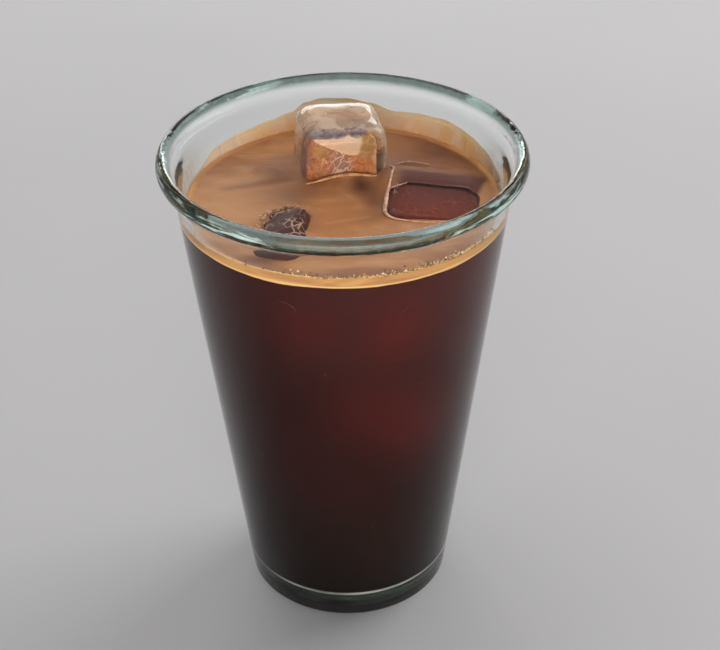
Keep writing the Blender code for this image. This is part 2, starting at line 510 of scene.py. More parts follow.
def ice_point(point, ice, grow=0.0, fine=0.0):
    """Where a point of the cube from -1 to 1 goes on a half-melted cube of ice."""
    length = sum(abs(axis) ** ICE_EDGE_POWER for axis in point) ** (1 / ICE_EDGE_POWER)
    rounded = Vector(point) / length
    wave = sum(math.sin(rounded.dot(Vector(way))) for way in ICE_WAVES) / len(ICE_WAVES)
    melt = 1 + ICE_MELT * wave
    taper = 1 - ice["taper"] * (1 - rounded.z) / 2
    width, depth, height = ice["size"]
    seed = Vector((width, depth, height)) * 1000
    dent = fine * (0.5 + 0.5 * noise.noise(rounded * 1.6 + seed))
    dent += fine * 0.4 * (0.5 + 0.5 * noise.noise(rounded * 4.5 + seed))
    grow = grow - dent
    return Vector((
        rounded.x * (width / 2 * taper * melt + grow),
        rounded.y * (depth / 2 * taper * melt + grow),
        rounded.z * (height / 2 * melt + grow),
    ))


def ice_frame(ice):
    rotation = Euler([math.radians(angle) for angle in ice["turn"]]).to_matrix()
    middle = Vector(ice["top"]) - rotation @ Vector((0, 0, ice["size"][2] / 2))
    return rotation, middle


def ice_mesh(name, ice, grow=0.0, fine=0.0):
    shape = bmesh.new()
    bmesh.ops.create_cube(shape, size=2.0)
    bmesh.ops.subdivide_edges(shape, edges=shape.edges, cuts=ICE_CUTS, use_grid_fill=True)
    rotation, middle = ice_frame(ice)
    for vert in shape.verts:
        spot = [math.tan(axis * math.pi / 4) for axis in vert.co]
        vert.co = middle + rotation @ ice_point(spot, ice, grow, fine)
    bmesh.ops.recalc_face_normals(shape, faces=shape.faces)
    return finish_mesh(name, shape, sharp=False)


ICE_FINE = 0.00025              # depth of the small dents
ICE_LOOKS = {                   # roughness, share of the plain reflection, and strength of the ripples
    "ice_cube_back": (0.03, 0.6, 0.3),
    "ice_cube_right": (0.05, 0.10, 0.15),
    "ice_cube_front": (0.16, 0.10, 0.9),
}


def ice_material(name, roughness, glare, ripples):
    material, shader, place = start_material(name + "_look")
    ripple = rough_noise(place, 220.0, 2.0, 0.5, 0.4)
    large = rough_noise(place, 80.0, 2.0, 0.5, 0.3)
    fill(shader, {
        "Base Color": (1.0, 0.985, 0.97, 1.0),
        "Roughness": roughness,
        "IOR": 1.31,
        "Transmission Weight": 1.0,
        "Specular Tint": (glare, glare, glare, 1.0),
        "Normal": bumped(calc("MULTIPLY_ADD", ripple, 0.25, large), ripples, 0.0008),
    })
    let_light_in(shader)
    return material


CORE_DEPTH = 0.0013             # how deep the cloudy heart lies in the clear ice
CRUST_DEPTH = -0.00045          # of the front cube's cracked crust, which breaks through its skin
CORE_ROUGH = 0.00055
LINES_END = -0.0235             # y where the pale lines between the crystals stop
ICE_TOP = ICE["ice_cube_back"]["top"][2]
ICE_FRONT = 0.0095              # the upright face of the back cube that faces the front
PLATE_SIZE = (0.0192, 0.0046, 0.0228)   # of the cracked, cloudy part behind that face
PLATE_PLACE = (-0.0012, -0.0075, 0.0117)    # of the middle of its top, from the cube's middle


def plate_of(ice):
    rotation, middle = ice_frame(ice)
    return {"size": PLATE_SIZE, "top": middle + rotation @ Vector(PLATE_PLACE),
            "turn": ice["turn"], "taper": 0.0}


def core_mesh(name, ice, rough, depth=CORE_DEPTH):
    """The cracked, cloudy heart of a cube, a little inside its clear skin."""
    mesh = ice_mesh(name, ice, -depth)
    middle = ice_frame(ice)[1]
    for vert in mesh.vertices:
        out = (vert.co - middle).normalized()
        spot = vert.co * 420
        crack = abs(noise.noise(spot)) + 0.5 * abs(noise.noise(spot * 2.3))
        swell = noise.noise(vert.co * 130)
        vert.co += out * rough * (1.1 * swell - 1.6 * crack)
    return mesh


PATCH_LOW = 0.1272              # the lower edge of the plain beige patch behind the face
PATCH_RISE = 0.55               # how fast that edge climbs to the left
PATCH_SIDES = (-0.0085, 0.0040)


def plate_material():
    """Amber where the drink glows through, with a beige patch, cracks and a grey upper edge."""
    material, shader, place = start_material("ice_heart_amber")
    height = part_of(place, 2)
    side = part_of(place, 0)
    fine = rough_noise(place, 420.0, 4.0, 0.65, 1.2)
    cloud = rough_noise(place, 150.0, 3.0, 0.6, 0.8)
    shard = rough_noise(stretched(place, (1.0, 1.0, 0.5), (0.3, 0.5, 0.6)), 800.0, 2.0, 0.5, 0.8)
    wander = times(calc("SUBTRACT", cloud, 0.5), 0.005)
    bend = calc("ADD", wander, height)
    sideways = calc("ADD", wander, side)
    amber = blend(spread(fine, 0.36, 0.64), linear(150, 76, 30), linear(182, 104, 44))
    amber = blend(times(spread(cloud, 0.5, 0.36), 0.5), amber, linear(122, 62, 32))
    golden = near(place, (0.0064, ICE_FRONT + 0.001, 0.1292), 0.0062, (1.3, 0.6, 0.9))
    amber = blend(times(golden, 1.6, clamp=True), amber, linear(148, 102, 40))
    golden = near(place, (-0.0058, ICE_FRONT - 0.001, 0.1283), 0.0034, (1.0, 0.6, 1.0))
    amber = blend(golden, amber, linear(160, 112, 44))
    amber = blend(times(spread(shard, 0.63, 0.70), 0.55), amber, linear(232, 184, 130))
    cracked = near(place, (-0.0006, ICE_FRONT, 0.1235), 0.0066, (1.6, 0.7, 0.85))
    crack = times(cracked, spread(fine, 0.36, 0.52, 0.5, 1.6), clamp=True)
    colour = blend(crack, amber, linear(150, 106, 92))
    edge = cell_edge(shifted(place, wander), 430.0)
    shown = calc("MULTIPLY_ADD", cracked, 1.2, 0.16, clamp=True)
    colour = blend(times(spread(edge, 0.09, 0.03), shown), colour, linear(214, 168, 132))
    beside = spread(calc("ABSOLUTE", calc("SUBTRACT", edge, 0.14)), 0.05, 0.01)
    colour = blend(times(beside, times(shown, 0.5)), colour, linear(96, 56, 50))
    climb = calc("MAXIMUM", calc("SUBTRACT", -0.0005, side), 0.0)
    low = calc("MULTIPLY_ADD", climb, PATCH_RISE, PATCH_LOW)
    over = calc("SUBTRACT", bend, low)
    inside = times(spread(sideways, PATCH_SIDES[0], PATCH_SIDES[0] + 0.0010),
                   spread(sideways, PATCH_SIDES[1] + 0.0012, PATCH_SIDES[1]))
    beige = blend(spread(side, -0.006, 0.004), linear(208, 160, 124), linear(200, 164, 132))
    colour = blend(times(inside, spread(over, 0.0, 0.0005)), colour, beige)
    rim = times(spread(calc("ABSOLUTE", over), 0.00045, 0.00015), inside)
    colour = blend(times(rim, 0.75), colour, linear(226, 186, 146))
    flakes = node("TexVoronoi", {"Vector": place, "Scale": 900.0}).outputs["Color"]
    chips = times(spread(sideways, 0.0076, 0.0088), 0.55)
    colour = blend(chips, colour, blend(flakes, linear(150, 92, 62), linear(240, 206, 170)))
    colour = blend(spread(sideways, -0.0088, -0.0096, 0.0, 0.8), colour, linear(136, 100, 92))
    grey = blend(spread(fine, 0.40, 0.60), linear(104, 84, 84), linear(146, 124, 116))
    top = calc("MULTIPLY_ADD", calc("SUBTRACT", cloud, 0.5), 0.0050, height)
    colour = blend(spread(top, ICE_TOP - 0.0024, ICE_TOP - 0.0019), colour, grey)
    colour = blend(spread(height, DRINK_LEVEL, DRINK_LEVEL - 0.004), colour, linear(150, 84, 44))
    fill(shader, {"Base Color": colour, "Roughness": 0.3, "Normal": bumped(fine, 0.5, 0.0006)})
    return material


def dark_heart_material(name, tone, low_tone, line_tone, line_share):
    """The dark drink seen through a cube, with fine pale lines between its crystals."""
    material, shader, place = start_material(name)
    depth = part_of(place, 1)
    cloud = rough_noise(place, 110.0, 3.0, 0.6, 0.8)
    fine = rough_noise(place, 500.0, 3.0, 0.6, 0.6)
    edge = cell_edge(shifted(place, times(fine, 0.0012)), 420.0)
    lines = times(times(spread(edge, 0.10, 0.02), line_share), spread(cloud, 0.40, 0.60))
    lines = times(lines, spread(depth, LINES_END - 0.0010, LINES_END + 0.0010))
    colour = blend(spread(depth, 0.004, -0.014), tone, low_tone)
    colour = blend(times(spread(cloud, 0.55, 0.35), 0.4), colour, PLUM_DARK)
    fill(shader, {
        "Base Color": blend(lines, colour, line_tone),
        "Roughness": 0.45,
        "Specular IOR Level": 0.08,
        "Normal": bumped(fine, 0.3, 0.0005),
    })
    return material


MIST_DEPTH = 0.0005             # how deep the milkiness lies under the back cube's skin
MIST_SHARE = 0.42
# Where the painted highlight on the back cube's top lies.
PAINTED_HIGHLIGHT_PLACE = (-0.0030, 0.0270, ICE_TOP)


def mist_material():
    """A faint milkiness, thin before the cracked plate, with a painted highlight along the top's back edge.
    """
    material, shader, place = start_material("ice_mist")
    cloud = rough_noise(place, 140.0, 3.0, 0.6, 0.6)
    front = times(spread(part_of(place, 1), ICE_FRONT + 0.0048, ICE_FRONT + 0.0026),
                  spread(part_of(place, 2), ICE_TOP - 0.0004, ICE_TOP - 0.0014))
    veil = times(spread(front, 0.0, 1.0, MIST_SHARE, 0.06), spread(cloud, 0.3, 0.65, 0.7, 1.2))
    # Painted highlight: a near-white patch along the top's back edge.
    painted_highlight = near(place, PAINTED_HIGHLIGHT_PLACE, 0.0066, (0.9, 2.6, 1.0))
    painted_highlight = times(painted_highlight, spread(cloud, 0.38, 0.55, 0.4, 1.0))
    colour = blend(spread(cloud, 0.35, 0.65), linear(196, 164, 136), linear(216, 192, 166))
    colour = blend(painted_highlight, colour, linear(250, 246, 242))
    alpha = calc("MULTIPLY_ADD", painted_highlight, 0.75, veil, clamp=True)
    fill(shader, {"Base Color": colour, "Roughness": 0.5, "Alpha": alpha})
    return material


def make_ice():
    for name, ice in ICE.items():
        look = ice_material(name, *ICE_LOOKS[name])
        add_piece(name + "_clear", ice_mesh(name, ice, fine=ICE_FINE), look, name)
    mist = ice_mesh("ice_mist", ICE["ice_cube_back"], -MIST_DEPTH, ICE_FINE)
    add_piece("ice_cube_back_mist", mist, mist_material())
    hearts = {
        "ice_cube_right": (dark_heart_material(
            "ice_heart_plum", linear(92, 42, 34), linear(108, 48, 34), linear(176, 124, 100), 0.14),
            CORE_ROUGH * 0.3, CORE_DEPTH),
        "ice_cube_front": (dark_heart_material(
            "ice_heart_dark", linear(78, 46, 42), linear(72, 42, 38), linear(196, 158, 134), 0.8),
            CORE_ROUGH * 0.8, CRUST_DEPTH),
    }
    for name, (material, rough, depth) in hearts.items():
        mesh = core_mesh(name + "_heart", ICE[name], rough, depth)
        add_piece(name + "_heart", mesh, material)
    name = "ice_cube_back_heart"
    plate = core_mesh(name, plate_of(ICE["ice_cube_back"]), CORE_ROUGH * 0.7, 0.0)
    add_piece(name, plate, plate_material())


def away_from_ice(x, y, z, ice):
    """Rough distance from a point to a cube's surface, negative inside it."""
    rotation, middle = ice_frame(ice)
    local = rotation.transposed() @ (Vector((x, y, z)) - middle)
    width, depth, height = ice["size"]
    taper = 1 - ice["taper"] * (1 - local.z / (height / 2)) / 2
    scaled = (local.x / (width / 2 * taper), local.y / (depth / 2 * taper), local.z / (height / 2))
    size = sum(abs(axis) ** ICE_EDGE_POWER for axis in scaled) ** (1 / ICE_EDGE_POWER)
    reach = local.length
    return reach * (1 - 1 / max(size, 0.001))


def make_cutters(rooms):
    cutters = []
    for name, ice in ICE.items():
        mesh = ice_mesh("room_" + name, ice, rooms[name], fine=ICE_FINE)
        cutter = bpy.data.objects.new(mesh.name, mesh)
        bpy.context.scene.collection.objects.link(cutter)
        cutters.append(cutter)
    return cutters


def cut_with(mesh, rooms):
    """The mesh with room for the ice taken out of it."""
    thing = bpy.data.objects.new(mesh.name, mesh)
    bpy.context.scene.collection.objects.link(thing)
    cutters = make_cutters(rooms)
    for cutter in cutters:
        cut = thing.modifiers.new(cutter.name, "BOOLEAN")
        cut.operation = "DIFFERENCE"
        cut.object = cutter
        cut.solver = "MANIFOLD"
    graph = bpy.context.evaluated_depsgraph_get()
    graph.update()
    result = bpy.data.meshes.new_from_object(thing.evaluated_get(graph))
    for gone in cutters + [thing]:
        bpy.data.objects.remove(gone, do_unlink=True)
    result.name = mesh.name + "_cut"
    result.materials.clear()
    result.shade_smooth()
    result.set_sharp_from_angle(angle=math.radians(50))
    return result


# Coffee

COFFEE_TOP = DRINK_LEVEL - CREMA_THICKNESS + 0.0007
COFFEE_BOTTOM_COLOUR = linear(14, 4, 0)
COFFEE_LOW_COLOUR = linear(30, 9, 2)
COFFEE_MIDDLE_COLOUR = linear(50, 11, 7)
COFFEE_TOP_COLOUR = linear(72, 30, 26)
COFFEE_GLOW_COLOUR = linear(100, 28, 22)
# Painted light: the pale walls of the hole under the back cube, lighter towards the top.
UNDER_ICE_PAINTED_LIGHT = linear(252, 226, 200)
UNDER_ICE_PAINTED_LIGHT_LOW = linear(236, 196, 158)
PLUM = linear(120, 76, 68)
PLUM_DARK = linear(96, 60, 54)
COFFEE_PAINTED_SHADE_COLOUR = linear(16, 4, 3)
BASE_PAINTED_GLEAM = linear(196, 184, 176)
UNDER_CUBES = (                 # place, reach and colour of the drink round the two low cubes
    ((0.0245, -0.0034, 0.112), 0.021, PLUM),
    ((-0.0170, -0.0165, 0.112), 0.017, PLUM_DARK),
)
# Painted light: a bright line of light along the coffee's lower edge.
PAINTED_GLEAM_TOP = 0.0082              # height of the bright line along the lower edge of the coffee
COFFEE_GLOWS = (                # place, reach and strength of the light that comes through
    ((-0.012, -0.037, 0.105), 0.016, 0.5),
    ((0.013, -0.037, 0.102), 0.016, 0.5),
    ((0.004, -0.034, 0.078), 0.018, 0.3),
    ((0.018, -0.030, 0.070), 0.020, 0.35),
)


def coffee_profile():
    bottom = FLOOR_THICKNESS - COFFEE_REACH
    height = FLOOR_THICKNESS + CORNER_RADIUS
    centre = (inner_wall(height) - CORNER_RADIUS, height)
    radius = CORNER_RADIUS + COFFEE_REACH
    corner = arc(centre, (radius, radius), -90, 0, ARC_STEPS)
    side = line(corner[-1], (inner_wall(COFFEE_TOP) + COFFEE_REACH, COFFEE_TOP), 24)[1:]
    return [(0.0, bottom)] + corner + side + [(0.0, COFFEE_TOP)]


def coffee_material():
    material, shader, place = start_material("coffee")
    height = part_of(place, 2)
    cloud = rough_noise(place, 38.0, 3.0, 0.55, 0.8)
    fine = rough_noise(place, 120.0, 4.0, 0.6, 0.3)
    wander = calc("MULTIPLY_ADD", calc("SUBTRACT", cloud, 0.5), 0.03, height)
    # Painted light and shade: the coffee is darker towards the bottom, lighter and redder towards the top.
    colour = blend(spread(wander, 0.006, 0.034), COFFEE_BOTTOM_COLOUR, COFFEE_LOW_COLOUR)
    colour = blend(spread(wander, 0.026, 0.070), colour, COFFEE_MIDDLE_COLOUR)
    colour = blend(spread(wander, 0.070, 0.116), colour, COFFEE_TOP_COLOUR)
    # Painted light: glows where light comes through the drink.
    for spot, reach, strength in COFFEE_GLOWS:
        glow = times(near(place, spot, reach), strength)
        colour = blend(times(glow, calc("ADD", cloud, 0.4)), colour, COFFEE_GLOW_COLOUR)
    # Painted shade: the coffee is darker towards its left side.
    painted_shade_left = spread(part_of(place, 0), 0.030, -0.034, 0.0, 0.55)
    colour = blend(painted_shade_left, colour, COFFEE_PAINTED_SHADE_COLOUR)
    # Painted light: the bright line along the coffee's lower edge, light that comes through the foot.
    painted_gleam = times(spread(height, PAINTED_GLEAM_TOP + 0.0003, PAINTED_GLEAM_TOP - 0.0003),
                  spread(rough_noise(place, 60.0, 2.0), 0.35, 0.60, 0.35, 1.0))
    colour = blend(painted_gleam, colour, BASE_PAINTED_GLEAM)
    # Painted light: the hole under the back cube is painted pale, as if lit through the ice, paler towards
    # the top.
    pale = times(spread(height, 0.108, 0.119), calc("ADD", fine, 0.3), clamp=True)
    pale = blend(pale, UNDER_ICE_PAINTED_LIGHT_LOW, UNDER_ICE_PAINTED_LIGHT)
    inside = near(place, (0.0, 0.0205, 0.1215), 0.0215)
    colour = blend(spread(inside, 0.0, 0.5), colour, pale)
    within = spread(from_axis(place), 0.0380, 0.0365)
    for spot, reach, tone in UNDER_CUBES:
        patch = times(spread(near(place, spot, reach), 0.0, 0.4), within)
        colour = blend(patch, colour, tone)
    fill(shader, {"Base Color": colour, "Roughness": 0.35, "Specular IOR Level": 0.1})
    return material


def make_coffee():
    mesh = turned_mesh("coffee", coffee_profile())
    look = coffee_material()
    add_piece("coffee_body", cut_with(mesh, COFFEE_ROOM), look, "coffee")
    make_sunk_ice(look)


# Crema

CREMA_LIP = {"ice_cube_back": 0.0004, "ice_cube_right": 0.0, "ice_cube_front": 0.0001}
RAMP_X = 0.0010                 # the foam that runs up the back cube's front face
RAMP_HALF_WIDTH = 0.0062
RAMP_HEIGHT = 0.0017
RAMP_REACH = 0.0017
SLOPE_REACH = 0.0045            # of the foam that rises to the right cube's back edge
CREMA_LIP_REACH = 0.0011
CREMA_SWELL = 0.00022
CREMA_EDGE_WAVE = 0.0004


def crema_swirl(x, y):
    """Flowing unevenness of the foam, about -1 to 1."""
    spot = Vector((x, y, 0.0)) * 60
    bend = Vector((noise.noise(spot * 0.9), noise.noise(spot * 0.9 + Vector((5, 3, 1))), 0.0))
    return noise.noise(spot * 1.1 + bend * 1.9) + 0.35 * noise.noise(spot * 3.1 + bend * 2.5)


def crema_height(x, y):
    z = DRINK_LEVEL
    radius = math.hypot(x, y)
    edge = inner_wall(DRINK_LEVEL) + CREMA_REACH
    t = max(0.0, 1 - (edge - radius) / MENISCUS_WIDTH)
    z += MENISCUS_RISE * t * t
    calm = smooth_step(0.0, 0.006, edge - radius)
    z += CREMA_SWELL * crema_swirl(x, y) * calm
    for name, ice in ICE.items():
        away = max(0.0, away_from_ice(x, y, DRINK_LEVEL, ice))
        crumble = 0.7 + 0.5 * noise.noise(Vector((x, y, 0)) * 300)
        z += CREMA_LIP[name] * crumble * math.exp(-away / CREMA_LIP_REACH)
    scallop = 0.75 + 0.35 * noise.noise(Vector((x * 420, 3.0, 0.0)))
    across = math.exp(-((x - RAMP_X) / RAMP_HALF_WIDTH) ** 4)
    down = math.exp(-max(0.0, ICE_FRONT - y) / RAMP_REACH)
    if y < ICE_FRONT + 0.004:
        z += RAMP_HEIGHT * across * down * scallop
    away = max(0.0, away_from_ice(x, y, DRINK_LEVEL, ICE["ice_cube_right"]))
    depth, rise = right_cube_top(x, y)
    behind = smooth_step(0.0, 0.0085, depth) * smooth_step(0.006, 0.013, x) * calm
    z += (DRINK_LEVEL + rise - z) * behind * math.exp(-((away / SLOPE_REACH) ** 2))
    return z


def right_cube_top(x, y):
    """How far back on the right cube a point lies, and the height of its top above the drink there."""
    ice = ICE["ice_cube_right"]
    rotation, middle = ice_frame(ice)
    top = Vector(ice["top"])
    up = rotation.col[2]
    rise = top.z - DRINK_LEVEL - (up.x * (x - top.x) + up.y * (y - top.y)) / up.z
    local = rotation.transposed() @ (Vector((x, y, top.z)) - middle)
    return local.y, rise


def crema_mesh():
    shape = bmesh.new()
    top_z = DRINK_LEVEL + MENISCUS_RISE
    edge = inner_wall(top_z) + CREMA_REACH
    rings = []
    for index in range(1, CREMA_RINGS + 1):
        r = edge * (index / CREMA_RINGS) ** 0.85
        ring = []
        for step in range(TURN_STEPS):
            angle = math.tau * step / TURN_STEPS
            x = r * math.cos(angle)
            y = r * math.sin(angle)
            ring.append(shape.verts.new((x, y, crema_height(x, y))))
        rings.append(ring)
    centre = shape.verts.new((0, 0, crema_height(0, 0)))
    for step in range(1, CREMA_SIDE_STEPS + 1):
        ring = []
        for index in range(TURN_STEPS):
            angle = math.tau * index / TURN_STEPS
            around = round_axis(1.0, angle, 0.0)
            low = DRINK_LEVEL - CREMA_THICKNESS + CREMA_EDGE_WAVE * noise.noise(around * 4)
            low += 0.25 * CREMA_EDGE_WAVE * noise.noise(around * 17)
            high = rings[CREMA_RINGS - 1][index].co.z
            z = high + (low - high) * step / CREMA_SIDE_STEPS
            r = inner_wall(z) + CREMA_REACH
            ring.append(shape.verts.new((r * around.x, r * around.y, z)))
        rings.append(ring)
    bottom = shape.verts.new((0, 0, DRINK_LEVEL - CREMA_THICKNESS))
    for step in range(TURN_STEPS):
        after = (step + 1) % TURN_STEPS
        shape.faces.new((centre, rings[0][step], rings[0][after]))
        shape.faces.new((bottom, rings[-1][after], rings[-1][step]))
        for low, high in zip(rings, rings[1:]):
            shape.faces.new((low[step], high[step], high[after], low[after]))
    bmesh.ops.recalc_face_normals(shape, faces=shape.faces)
    return finish_mesh("crema", shape)


CREMA_TAN = linear(176, 120, 76)
CREMA_LIGHT = linear(190, 136, 92)
CREMA_BROWN = linear(120, 74, 52)
CREMA_SHADE = linear(88, 52, 38)
CREMA_RING = linear(206, 148, 90)
CREMA_ORANGE = linear(182, 118, 72)
CREMA_ROSE = linear(144, 98, 76)
CREMA_ON_ICE = linear(96, 54, 47)
CREMA_ON_DARK_ICE = linear(84, 50, 44)


CREMA_SPOTS = (                 # place, reach, stretch, colour and strength
    ((0.000, -0.042), 0.024, (0.55, 2.0, 1.0), CREMA_ROSE, 1.1),
    ((0.026, 0.022), 0.030, (1.0, 1.0, 1.0), CREMA_BROWN, 0.9),
    ((0.012, 0.014), 0.010, (1.4, 0.7, 1.0), CREMA_BROWN, 0.7),
    ((-0.016, 0.016), 0.013, (1.2, 0.8, 1.0), CREMA_BROWN, 0.65),
    # Painted shadow: these two CREMA_SHADE spots are shade on the foam in front of the back cube, below its
    # foam lip.
    ((0.0048, 0.0058), 0.0075, (1.4, 0.8, 1.0), CREMA_SHADE, 1.2),
    ((0.0080, -0.0010), 0.0085, (1.6, 0.6, 1.0), CREMA_SHADE, 0.75),
    ((-0.013, 0.002), 0.010, (0.7, 1.8, 1.0), CREMA_BROWN, 0.45),
    ((-0.031, -0.004), 0.020, (1.0, 0.8, 1.0), CREMA_LIGHT, 1.0),
    ((-0.002, -0.012), 0.012, (1.0, 0.8, 1.0), CREMA_ORANGE, 0.7),
    ((-0.019, -0.029), 0.0075, (0.9, 1.6, 1.0), CREMA_SHADE, 0.8),
    ((-0.008, -0.033), 0.0080, (0.7, 1.7, 1.0), CREMA_LIGHT, 0.8),
    ((0.0400, 0.0010), 0.0085, (1.0, 0.6, 1.0), CREMA_LIGHT, 1.3),
)


CREMA_RING_DARK = linear(180, 124, 80)
CREMA_RING_EDGE = linear(230, 178, 116)
CREMA_STREAKS = (               # middle, half size, turn, softness, colour and strength
    ((-0.0225, 0.0080), (0.0095, 0.0006), 0.30, 0.0020, CREMA_BROWN, 0.75),
    ((-0.0200, 0.0058), (0.0090, 0.0005), 0.34, 0.0016, CREMA_LIGHT, 0.5),
    ((0.0190, 0.0168), (0.0040, 0.0010), -0.42, 0.0008, CREMA_SHADE, 0.9),
    ((0.0250, 0.0148), (0.0050, 0.0003), -0.35, 0.0007, CREMA_SHADE, 0.5),
    ((-0.0050, -0.0010), (0.0004, 0.0070), 0.15, 0.0016, CREMA_ORANGE, 0.5),
    ((0.0010, -0.0120), (0.0060, 0.0004), 0.30, 0.0010, CREMA_LIGHT, 0.6),
)


def crema_material():
    material, shader, place = start_material("crema")
    flow = stretched(place, (1.0, 1.9, 1.0), (0.0, 0.0, 0.4))
    swirl = rough_noise(flow, 60.0, 4.0, 0.55, 1.6)
    broad = rough_noise(flow, 24.0, 2.0, 0.5, 1.0)
    grain = rough_noise(place, 900.0, 2.0, 0.6)
    colour = blend(spread(swirl, 0.42, 0.66), CREMA_TAN, CREMA_LIGHT)
    colour = blend(times(spread(broad, 0.58, 0.36), 0.5), colour, CREMA_BROWN)
    for (x, y), reach, stretch, tone, strength in CREMA_SPOTS:
        wave = calc("MULTIPLY_ADD", swirl, 0.9, strength - 0.45, clamp=True)
        share = times(near(place, (x, y, DRINK_LEVEL), reach, stretch), wave)
        colour = blend(share, colour, tone)
    for middle, half, turn, soft, tone, strength in CREMA_STREAKS:
        share = times(in_box(place, (*middle, 0.0), half, turn, soft), strength)
        colour = blend(share, colour, tone)
    over_ice = in_box(place, (0.0262, 0.0000, 0.0), (0.0128, 0.0108), -0.14, 0.0024)
    slant = calc("MULTIPLY_ADD", part_of(place, 1), -0.36, part_of(place, 0))
    colour = blend(times(over_ice, spread(slant, 0.0358, 0.0338)), colour, CREMA_ON_ICE)
    over_ice = in_box(place, (-0.0143, -0.0128, 0.0), (0.0066, 0.0027), 0.86, 0.0010)
    colour = blend(over_ice, colour, CREMA_ON_DARK_ICE)
    layers = rough_noise(stretched(place, (1.0, 1.0, 9.0)), 55.0, 3.0, 0.6, 0.5)
    ring = blend(spread(layers, 0.40, 0.62), CREMA_RING, CREMA_RING_DARK)
    low = calc("MULTIPLY_ADD", layers, 0.0006, part_of(place, 2))
    ring = blend(spread(low, DRINK_LEVEL - 0.0009, DRINK_LEVEL - 0.0014), ring, CREMA_RING_EDGE)
    edge = calc("MULTIPLY_ADD", swirl, 0.0012, from_axis(place))
    fill(shader, {
        "Base Color": blend(spread(edge, 0.0392, 0.0404), colour, ring),
        "Roughness": spread(swirl, 0.3, 0.7, 0.30, 0.42),
        "Specular IOR Level": 0.12,
        "Normal": bumped(calc("MULTIPLY_ADD", grain, 0.2, swirl), 0.2, 0.0006),
    })
    return material


def make_crema():
    add_piece("crema_foam", cut_with(crema_mesh(), CREMA_ROOM), crema_material(), "crema")


# Residue film on the inner wall

FILM_HEIGHTS = (
    (-180, 1.2), (-150, 1.0), (-120, 1.0), (-90, 1.0), (-60, 1.2), (-30, 1.8), (-10, 2.8),
    (10, 3.7), (23, 5.0), (33, 5.9), (47, 6.8), (58, 6.5), (70, 5.9), (79, 7.4), (89, 8.3),
    (98, 8.5), (104, 7.9), (110, 5.9), (120, 4.8), (132, 4.3), (146, 3.7), (160, 1.5), (180, 1.2))
FILM_THICKNESS = 0.00006
FILM_STEPS = 8
HAZE_PARTS = (("haze_left", 150, 225), ("haze_right", -45, 32))     # from and to an angle
HAZE_HEIGHT = 0.0095
HAZE_COLOUR = linear(190, 178, 162)
HAZE_ALPHA = 0.55


def film_height(angle):
    degrees = math.degrees(angle)
    if degrees > 180:
        degrees -= 360
    for (start, low), (end, high) in zip(FILM_HEIGHTS, FILM_HEIGHTS[1:]):
        if start <= degrees <= end:
            t = (degrees - start) / (end - start)
            t = t * t * (3 - 2 * t)
            return (low + (high - low) * t) / 1000
    return FILM_HEIGHTS[0][1] / 1000


def skin_mesh(name, start, end, steps, height_at, lift):
    """A thin skin on the inner wall from one angle to another.

    The attributes to_edge and to_end run from 0 to 1 up the skin and along it.
    """
    shape = bmesh.new()
    to_edge = shape.verts.layers.float.new("to_edge")
    to_end = shape.verts.layers.float.new("to_end")
    rows = []
    for row in range(FILM_STEPS + 1):
        rank = []
        for step in range(steps + 1):
            angle = start + (end - start) * step / steps
            share = row / FILM_STEPS
            wave = 0.0002 * noise.noise(round_axis(1.0, angle, 0.0) * 7)
            z = DRINK_LEVEL - 0.0003 + share * (height_at(angle) + wave + 0.0003)
            vert = shape.verts.new(round_axis(flared_wall(z) - lift, angle, z))
            vert[to_edge] = share
            vert[to_end] = step / steps
            rank.append(vert)
        rows.append(rank)
    for low, high in zip(rows, rows[1:]):
        for step in range(steps):
            shape.faces.new((low[step + 1], low[step], high[step], high[step + 1]))
    bmesh.ops.remove_doubles(shape, verts=shape.verts, dist=1e-7)
    return finish_mesh(name, shape, sharp=False)


def make_haze():
    """The faint grey haze that foam left on the wall at both sides."""
    material, shader, place = start_material("wall_haze")
    along_it = attribute(shader, "to_end")
    cloud = rough_noise(stretched(place, (1.0, 1.0, 0.4)), 260.0, 3.0)
    alpha = times(spread(attribute(shader, "to_edge"), 1.0, 0.5), HAZE_ALPHA)
    alpha = times(alpha, times(spread(along_it, 0.0, 0.3), spread(along_it, 1.0, 0.7)))
    alpha = times(alpha, spread(cloud, 0.25, 0.65, 0.7, 1.0))
    fill(shader, {"Base Color": HAZE_COLOUR, "Roughness": 0.4, "Alpha": alpha})
    for name, start, end in HAZE_PARTS:
        mesh = skin_mesh(name, math.radians(start), math.radians(end), 60,
                         lambda angle: HAZE_HEIGHT, FILM_THICKNESS * 2)
        add_piece(name, mesh, material)


def make_film():
    """A thin skin of dried foam on the wall above the surface."""
    mesh = skin_mesh("film", 0.0, math.tau, TURN_STEPS * 2, film_height, FILM_THICKNESS)
    material, shader, place = start_material("crema_film")
    share = attribute(shader, "to_edge")
    cloud = rough_noise(stretched(place, (1.0, 1.0, 0.35)), 220.0, 4.0, 0.6, 0.4)
    colour = blend(spread(share, 0.3, 1.0), linear(206, 148, 84), linear(204, 164, 98))
    colour = blend(spread(part_of(place, 0), -0.016, -0.030), colour, linear(226, 194, 156))
    edge = times(spread(share, 0.86, 0.97), spread(share, 1.0, 0.97))
    alpha = times(spread(share, 1.0, 0.70, 0.78, 1.0), spread(cloud, 0.25, 0.6, 0.8, 1.0))
    alpha = times(alpha, spread(rough_noise(place, 45.0, 2.0), 0.3, 0.6, 0.8, 1.0))
    alpha = calc("MULTIPLY_ADD", edge, 0.22, alpha, clamp=True)
    fill(shader, {"Base Color": colour, "Roughness": 0.3, "Alpha": alpha})
    add_piece("crema_film", mesh, material)


# Bubbles and crumbs of foam

